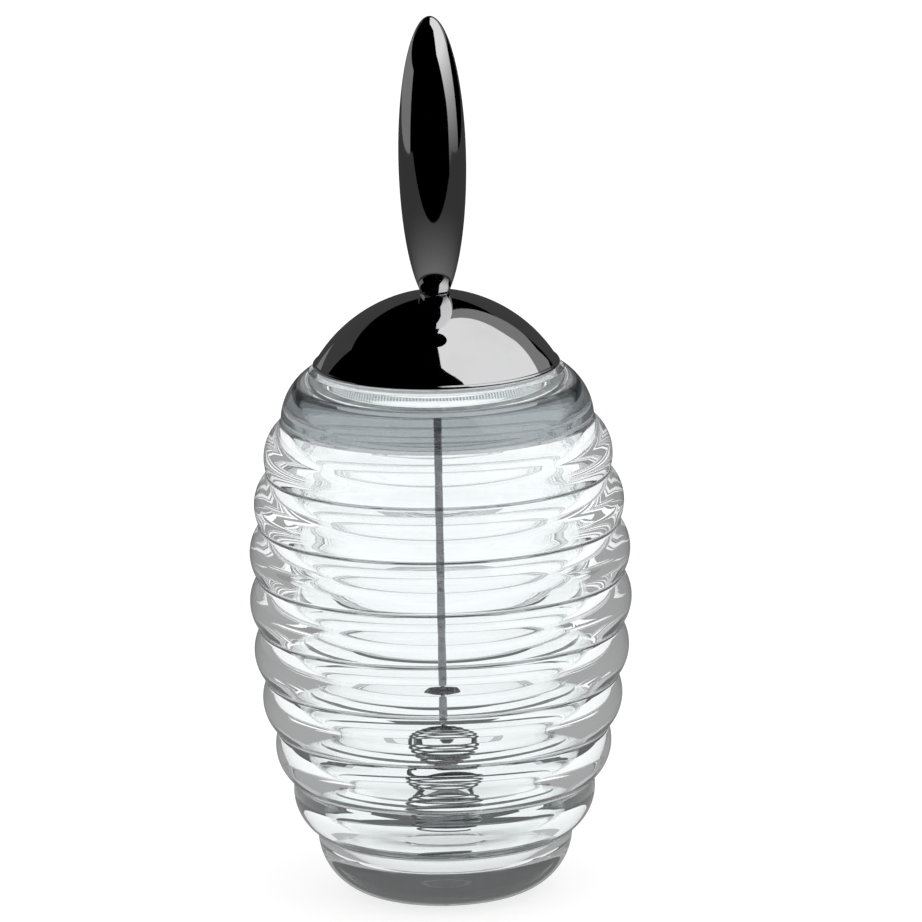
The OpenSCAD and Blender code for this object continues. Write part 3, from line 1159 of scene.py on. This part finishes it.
@dataclass
class Handle:
    """The polished spindle on top of the lid."""

    length: float = 60.9
    radius: float = 7.4
    widest: float = 29.3
    end_r: float = 3.2
    end_round: float = 0.8
    bore_r: float = 1.5
    bore_h: float = 9.8
    steps_round: int = 128
    steps_along: int = 96
    end_steps: int = 6
    smooth_angle: float = 50.0

    def build(self, steel: bpy.types.Material, seat_z: float) -> bpy.types.Object:
        """Shapes the spindle from a ball: stretched above and below, cut off, rounded and bored.

        Args:
            steel: The polished steel material.
            seat_z: Height of the flat on the lid.

        Returns:
            The handle.
        """
        pick_nothing()
        bpy.ops.mesh.primitive_uv_sphere_add(segments=self.steps_round, ring_count=self.steps_along,
                                             radius=self.radius * MM)
        piece = bpy.context.object
        piece.name = "handle_spindle"
        upper = self.length - self.widest
        lower = self.widest / math.sqrt(1 - (self.end_r / self.radius) ** 2)
        bpy.ops.object.mode_set(mode="EDIT")
        self.stretch(piece, lambda z: z >= 0, upper / self.radius)
        self.stretch(piece, lambda z: z < -WELD, lower / self.radius)
        bpy.ops.mesh.select_all(action="SELECT")
        bpy.ops.mesh.bisect(plane_co=(0, 0, -self.widest * MM), plane_no=(0, 0, 1), clear_inner=True,
                            use_fill=True)
        bpy.ops.mesh.inset(thickness=(self.end_r - self.bore_r) * MM)
        bpy.ops.mesh.extrude_region_move(TRANSFORM_OT_translate={"value": (0, 0, self.bore_h * MM)})
        soften(piece, [(self.end_r, -self.widest)], self.end_round, self.end_steps)
        bpy.ops.mesh.select_all(action="SELECT")
        bpy.ops.transform.translate(value=(0, 0, (seat_z + self.widest) * MM))
        bpy.ops.mesh.normals_make_consistent(inside=False)
        return finish_piece(piece, Rides.LID, steel, ["handle"], angle=self.smooth_angle)

    @staticmethod
    def stretch(piece: bpy.types.Object, wanted: Callable[[float], bool], factor: float) -> None:
        """Stretches a part of the piece along the axis, away from its widest place.

        Args:
            piece: The piece, in edit mode.
            wanted: Takes the height of a vertex and says whether it is stretched.
            factor: How many times as long the part becomes.
        """
        bpy.ops.mesh.select_mode(type="VERT")
        bpy.ops.mesh.select_all(action="DESELECT")
        shape = bmesh.from_edit_mesh(piece.data)
        for vertex in shape.verts:
            vertex.select_set(wanted(vertex.co.z))
        bmesh.update_edit_mesh(piece.data)
        bpy.ops.transform.resize(value=(1, 1, factor), center_override=(0, 0, 0))


@dataclass
class Dipper:
    """The rod and the wire coil that hang in the honey.

    The wire leaves the rod straight for lead, counted in wires, and its first points on the
    spiral are left out, so that it bends away from the axis without a kink.
    """

    stem_r: float = 0.9
    stem_steps: int = 40
    stem_soft: float = 0.3
    stem_soft_steps: int = 4
    coil_h: float = 25.0
    coil_r: float = 8.2
    coil_end_r: float = 5.2
    coil_start_r: float = 0.9
    widest_at: float = 0.58
    cap_turns: float = 0.66
    turns: int = 11
    wire_d: float = 1.0
    lead: float = 1.5
    first_point: int = 3
    per_turn: int = 36
    wire_steps: int = 4
    smooth_angle: float = 50.0

    def build_rod(self, steel: bpy.types.Material, low: float, high: float) -> bpy.types.Object:
        """Shapes the rod from a cylinder with a rounded lower end.

        Args:
            steel: The wire material.
            low: Height of the rod's lower end.
            high: Height of its upper end.

        Returns:
            The rod.
        """
        pick_nothing()
        bpy.ops.mesh.primitive_cylinder_add(vertices=self.stem_steps, radius=self.stem_r * MM,
                                            depth=(high - low) * MM, location=(0, 0, (high + low) / 2 * MM))
        piece = bpy.context.object
        piece.name = "dipper_rod"
        bpy.ops.object.transform_apply(location=True)
        bpy.ops.object.mode_set(mode="EDIT")
        soften(piece, [(self.stem_r, low)], self.stem_soft, self.stem_soft_steps)
        return finish_piece(piece, Rides.LID, steel, ["dipper_stem"])

    def winding(self, t: float) -> Point:
        """Works out a point on the coil.

        Args:
            t: Share of the turns that are wound, from 0 to 1.

        Returns:
            The coil's radius there and its drop below the first turn.
        """
        fall = self.coil_h - (self.lead + 1) * self.wire_d
        if t < self.cap_turns:
            angle = math.pi / 2 * t / self.cap_turns
            return (self.coil_start_r + (self.coil_r - self.coil_start_r) * math.sin(angle),
                    fall * self.widest_at * (1 - math.cos(angle)))
        left = (t - self.cap_turns) / (1 - self.cap_turns)
        return (self.coil_end_r + (self.coil_r - self.coil_end_r) * math.cos(math.pi / 2 * left),
                fall * (self.widest_at + (1 - self.widest_at) * left))

    def build_coil(self, steel: bpy.types.Material, top: float) -> bpy.types.Object:
        """Winds the coil along its path from the end of the rod down.

        Args:
            steel: The wire material.
            top: Height of the rod's lower end.

        Returns:
            The coil.
        """
        lead = self.lead * self.wire_d
        rings = self.turns * self.per_turn
        path = [Vector((0, 0, top)), Vector((0, 0, top - lead))]
        for i in range(self.first_point, rings + 1):
            radius, drop = self.winding(i / rings)
            angle = 2 * math.pi * i / self.per_turn
            z = top - lead - self.wire_d - drop
            path.append(Vector((radius * math.cos(angle), radius * math.sin(angle), z)))
        pick_nothing()
        bpy.ops.curve.primitive_nurbs_path_add(location=(0, 0, 0))
        piece = bpy.context.object
        piece.name = "dipper_coil_wire"
        curve = piece.data
        curve.splines.clear()
        spline = curve.splines.new("POLY")
        spline.points.add(len(path) - 1)
        for point, place in zip(spline.points, path):
            point.co = (*(place * MM), 1)
        curve.dimensions = "3D"
        curve.twist_mode = "MINIMUM"
        curve.bevel_depth = self.wire_d / 2 * MM
        curve.bevel_resolution = self.wire_steps
        curve.use_fill_caps = True
        bpy.ops.object.convert(target="MESH")
        piece = bpy.context.object
        bpy.ops.object.mode_set(mode="EDIT")
        bpy.ops.mesh.select_all(action="SELECT")
        bpy.ops.mesh.remove_doubles(threshold=WELD)
        bpy.ops.mesh.normals_make_consistent(inside=False)
        return finish_piece(piece, Rides.LID, steel, ["dipper_coil"], angle=self.smooth_angle)


# Studio


def glow_material(name: str, tone: float) -> bpy.types.Material:
    """Makes an even glow.

    Args:
        name: Name of the material.
        tone: Strength of the glow.

    Returns:
        The material, whose emission node is named glow.
    """
    material = bpy.data.materials.new(name)
    material.use_nodes = True
    tree = material.node_tree
    tree.nodes.clear()
    light = add_node(tree, "ShaderNodeEmission", name="glow")
    light.inputs["Strength"].default_value = tone
    out = add_node(tree, "ShaderNodeOutputMaterial")
    tree.links.new(light.outputs[0], out.inputs[0])
    return material


@dataclass
class Card:
    """A studio card or flag on a large ball round the pot, seen only in metal or only in glass.

    Directions are azimuth, 0 towards the camera and 90 to its right, and elevation, in degrees.
    A card with a low_tone fades to it between two heights over its centre, in parts of its reach.
    """

    name: str
    left: List[Point]
    right: List[Point]
    reach: float
    tone: float
    low_tone: Optional[float] = None
    seen: SeenIn = SeenIn.METAL
    columns: int = 32
    rows: int = 32
    centre_z: float = 0.1
    fade_low: float = -0.15
    fade_high: float = 0.35

    def azimuth(self, edge: Sequence[Point], elevation: float) -> float:
        """Finds an edge's azimuth at an elevation.

        Args:
            edge: Points of the edge, as azimuth and elevation.
            elevation: The elevation in degrees.

        Returns:
            The azimuth in degrees.
        """
        points = sorted(edge, key=lambda point: point[1])
        for (a0, e0), (a1, e1) in zip(points, points[1:]):
            if e0 <= elevation <= e1:
                return a0 + (a1 - a0) * (elevation - e0) / (e1 - e0)
        return points[0][0] if elevation < points[0][1] else points[-1][0]

    def build(self) -> bpy.types.Object:
        """Bends a grid to the card's outline.

        Returns:
            The card.
        """
        pick_nothing()
        bpy.ops.mesh.primitive_grid_add(x_subdivisions=self.columns, y_subdivisions=self.rows, size=2)
        card = bpy.context.object
        card.name = self.name
        low = min(e for _, e in self.left + self.right)
        high = max(e for _, e in self.left + self.right)
        for vertex in card.data.vertices:
            across, up = (vertex.co.x + 1) / 2, (vertex.co.y + 1) / 2
            elevation = low + (high - low) * up
            a0, a1 = self.azimuth(self.left, elevation), self.azimuth(self.right, elevation)
            vertex.co = self.place(a0 + (a1 - a0) * across, elevation)
        card.data.materials.append(self.material())
        hide_from_others(card, self.seen)
        return card

    def place(self, azimuth: float, elevation: float) -> Vector:
        """Finds the point in a direction, at the card's distance.

        Args:
            azimuth: Azimuth in degrees.
            elevation: Elevation in degrees.

        Returns:
            The point in metres.
        """
        a, e = math.radians(azimuth), math.radians(elevation)
        flat = self.reach * math.cos(e)
        return Vector((flat * math.sin(a), -flat * math.cos(a), self.centre_z + self.reach * math.sin(e)))

    def material(self) -> bpy.types.Material:
        """Makes the card's glow, even or fading towards its lower edge.

        Returns:
            The material.
        """
        material = glow_material(self.name, self.tone)
        if self.low_tone is not None:
            tree = material.node_tree
            split = add_node(tree, "ShaderNodeSeparateXYZ")
            tree.links.new(object_place(tree), split.inputs[0])
            fade = between(tree, split.outputs[2], self.centre_z + self.fade_low * self.reach,
                           self.centre_z + self.fade_high * self.reach, self.low_tone, self.tone)
            tree.links.new(fade, tree.nodes["glow"].inputs["Strength"])
        return material


def hide_from_others(thing: bpy.types.Object, seen: SeenIn) -> None:
    """Leaves a stage piece visible only in the metal or only in the glass.

    Args:
        thing: The stage piece.
        seen: The surfaces that show it.
    """
    thing.visible_camera = False
    thing.visible_diffuse = False
    thing.visible_shadow = False
    thing.visible_volume_scatter = False
    thing.visible_glossy = seen is SeenIn.METAL
    thing.visible_transmission = seen is SeenIn.GLASS


@dataclass
class Studio:
    """Pale floor, soft light and the cards that the metal and the glass show. Lengths in metres.

    The metal shows a dark table in place of the floor. Its tone falls from table_tone at
    table_near to table_far_tone at table_end.
    """

    floor_reach: float = 3.0
    floor_z: float = -0.0004
    floor_tone: float = 0.3
    floor_lit: float = 0.75
    lamp_size: float = 1.6
    lamp_power: float = 6.0
    lamp_place: Place = (0.5, -0.5, 1.8)
    room_reach: float = 2.7
    table_half: float = 1.0
    table_front: float = 0.37
    table_z: float = -0.0006
    table_tone: float = 0.24
    table_far_tone: float = 0.04
    table_near: float = 0.08
    table_end: float = 0.5
    table_fall: float = 2.0
    cards: List[Card] = field(default_factory=list)

    def build(self) -> None:
        """Builds the world, the floor, the lamp and the cards."""
        bpy.context.scene.view_settings.view_transform = "Standard"
        self.light_world()
        self.lay_floor()
        self.hang_lamp()
        self.darken_room()
        for card in self.cards:
            card.build()

    def light_world(self) -> None:
        """Sets an even white world at plain strength."""
        world = bpy.data.worlds.new("soft_white")
        bpy.context.scene.world = world
        world.use_nodes = True
        world.node_tree.nodes["Background"].inputs["Color"].default_value = (1, 1, 1, 1)
        world.node_tree.nodes["Background"].inputs["Strength"].default_value = 1.0

    def lay_floor(self) -> None:
        """Lays the pale floor: white to the camera and the glass, with the pot's soft shadow."""
        pick_nothing()
        bpy.ops.mesh.primitive_circle_add(vertices=96, radius=self.floor_reach, fill_type="NGON",
                                          location=(0, 0, self.floor_z))
        floor = bpy.context.object
        floor.name = "pale_floor"
        material, tree, shader = plain_material("pale_floor")
        shader.inputs["Base Color"].default_value = (self.floor_tone, self.floor_tone, self.floor_tone, 1)
        shader.inputs["Roughness"].default_value = 1.0
        shader.inputs["Specular IOR Level"].default_value = 0.0
        path = add_node(tree, "ShaderNodeLightPath")
        seen = math_node(tree, "MAXIMUM", path.outputs["Is Camera Ray"], path.outputs["Is Transmission Ray"])
        shader.inputs["Emission Color"].default_value = (1, 1, 1, 1)
        tree.links.new(math_node(tree, "MULTIPLY", seen, 1.0 - self.floor_tone * self.floor_lit),
                       shader.inputs["Emission Strength"])
        floor.data.materials.append(material)
        floor.visible_glossy = False

    def hang_lamp(self) -> None:
        """Hangs one large soft lamp over the pot for the shadow on the floor."""
        lamp = bpy.data.lights.new("soft_lamp", "AREA")
        lamp.shape = "DISK"
        lamp.size = self.lamp_size
        lamp.energy = self.lamp_power
        thing = bpy.data.objects.new("soft_lamp", lamp)
        thing.location = self.lamp_place
        thing.rotation_euler = Vector(self.lamp_place).to_track_quat("Z", "Y").to_euler()
        thing.visible_glossy = False
        thing.visible_transmission = False
        thing.visible_camera = False
        bpy.context.scene.collection.objects.link(thing)

    def darken_room(self) -> None:
        """Puts the pot in a dark room for its metal, with a dark grey table near it."""
        pick_nothing()
        bpy.ops.mesh.primitive_uv_sphere_add(segments=48, ring_count=24, radius=self.room_reach,
                                             location=(0, 0, 0))
        room = bpy.context.object
        room.name = "dark_room"
        room.data.materials.append(glow_material("dark_room", 0.0))
        hide_from_others(room, SeenIn.METAL)
        pick_nothing()
        bpy.ops.mesh.primitive_plane_add(size=2 * self.table_half,
                                         location=(0, self.table_half - self.table_front, self.table_z))
        table = bpy.context.object
        table.name = "dark_table"
        table.data.materials.append(self.table_glow())
        hide_from_others(table, SeenIn.METAL)

    def table_glow(self) -> bpy.types.Material:
        """Makes the table's glow, which fades away from the pot.

        Returns:
            The material.
        """
        material = glow_material("dark_table", self.table_tone)
        tree = material.node_tree
        away = add_node(tree, "ShaderNodeVectorMath", operation="LENGTH")
        place = add_node(tree, "ShaderNodeNewGeometry")
        tree.links.new(place.outputs["Position"], away.inputs[0])
        fade = between(tree, away.outputs["Value"], self.table_near, self.table_end, 1.0, 0.0)
        tone_here = between(tree, math_node(tree, "POWER", fade, self.table_fall), 0.0, 1.0,
                            self.table_far_tone, self.table_tone)
        tree.links.new(tone_here, tree.nodes["glow"].inputs["Strength"])
        return material


def studio_cards() -> List[Card]:
    """Lists the cards, with outlines as the polished metal in the photograph shows them.

    Returns:
        The cards.
    """
    box_left = [(60, -15), (60, 2), (46, 13), (33, 22), (34, 40), (36, 46), (26, 55), (8, 65), (9, 79),
                (9, 83)]
    box_right = [(82, -15), (84, -12), (100, -7), (103, 8), (118, 22), (129, 33), (133, 42), (143, 50),
                 (167, 70), (170, 83)]
    strip_right = [(142, 12), (140, 19), (147, 24), (153, 34), (159, 42), (169, 57), (176, 70)]
    strip_left = [(108, 12), (118, 22), (129, 33), (133, 42), (143, 50), (167, 70)]
    return [
        Card("softbox", box_left, box_right, reach=1.5, tone=0.85, low_tone=0.05),
        Card("softbox_spill", strip_left, strip_right, reach=1.6, tone=0.22),
        Card("back_grey", [(145, -12), (145, 33)], [(232, -12), (232, 33)], reach=1.65, tone=0.05),
        Card("left_grey", [(-155, -12), (-155, 10)], [(-80, -12), (-80, 10)], reach=1.5, tone=0.2),
        Card("glass_sky", [(-180, -2.8), (-180, 88)], [(180, -2.8), (180, 88)], reach=2.0, tone=0.12,
             seen=SeenIn.GLASS, columns=96),
    ]


@dataclass
class PhotoCamera:
    """The camera of the photograph, in its frame of 922 by 922 pixels. Lengths in metres."""

    frame_px: float = 922.0
    scale_px_per_m: float = 4535.0
    elevation: float = 14.07
    distance: float = 2.0
    aim_z: float = 0.0551
    up_px: float = 181.9
    right_px: float = 22.8
    roll: float = -1.1
    sensor_mm: float = 36.0
    far_clip: float = 30.0

    def build(self) -> bpy.types.Object:
        """Places the camera and makes it the scene's.

        Returns:
            The camera.
        """
        e = math.radians(self.elevation)
        target = Vector((0, 0, self.aim_z))
        back = Vector((0, -math.cos(e), math.sin(e)))
        up = Vector((0, math.sin(e), math.cos(e)))
        data = bpy.data.cameras.new("photo_camera")
        data.sensor_width = self.sensor_mm
        data.lens = self.sensor_mm * self.scale_px_per_m * self.distance / self.frame_px
        data.clip_end = self.far_clip
        camera = bpy.data.objects.new("photo_camera", data)
        bpy.context.scene.collection.objects.link(camera)
        camera.location = target + back * self.distance
        right = Vector((self.right_px / self.scale_px_per_m, 0, 0))
        aim = target + up * (self.up_px / self.scale_px_per_m) + right
        camera.rotation_mode = "QUATERNION"
        look = (aim - camera.location).to_track_quat("-Z", "Y")
        camera.rotation_quaternion = look @ Quaternion((0, 0, 1), math.radians(self.roll))
        bpy.context.scene.camera = camera
        return camera


def dress_node(node: str, material: bpy.types.Material) -> None:
    """Gives a CAD node that stays its material.

    Args:
        node: Name of the node.
        material: Its material.
    """
    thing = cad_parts[node]
    if thing.material_slots:
        for slot in thing.material_slots:
            slot.material = material
    else:
        thing.data.materials.append(material)
    LOG.info("%s: CAD node, %s", node, material.name)


def main() -> None:
    """Builds the finishes, the pot, the studio and the camera."""
    logging.basicConfig(level=logging.INFO, format="%(name)s: %(message)s")
    effects = SharedEffects()
    glass = PLAIN_GLASS.build(effects)
    # Glass darkened to paint the shade in the grooves.
    groove_shade_glass = GROOVE_SHADE_GLASS.build(effects, "groove_shade_glass")
    # Glass darkened to paint the shade on the shoulder.
    shoulder_shade_glass = SHOULDER_SHADE_GLASS.build(effects, "shoulder_shade_glass")
    silicone = FrostedSilicone().build(effects)
    polished = PolishedSteel().build(effects)
    pressed = PressedSteel().build(effects)
    wire = DrawnWire().build(effects)

    PhotoCamera().build()
    jar = Jar()
    jar.build(glass, groove_shade_glass, shoulder_shade_glass)
    seal = Seal()
    seal.build(silicone, jar.lip_z)
    rim_z = jar.lip_z + seal.flange_t
    lid = Lid()
    lid.build_dome(polished, rim_z)
    lid.build_cup(pressed, rim_z, seal.mouth_r - seal.gap - seal.bead_h - seal.skirt_t)
    Handle().build(polished, lid.seat_z(rim_z))

    low, high = (corner[2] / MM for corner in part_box("dipper_stem"))
    dipper = Dipper()
    dipper.build_rod(wire, low, high)
    dipper.build_coil(wire, low)
    for node in ("lid_stud", "clamp_washer", "stem_boss"):
        dress_node(node, pressed)

    Studio(cards=studio_cards()).build()


if __name__ == "__main__":
    main()
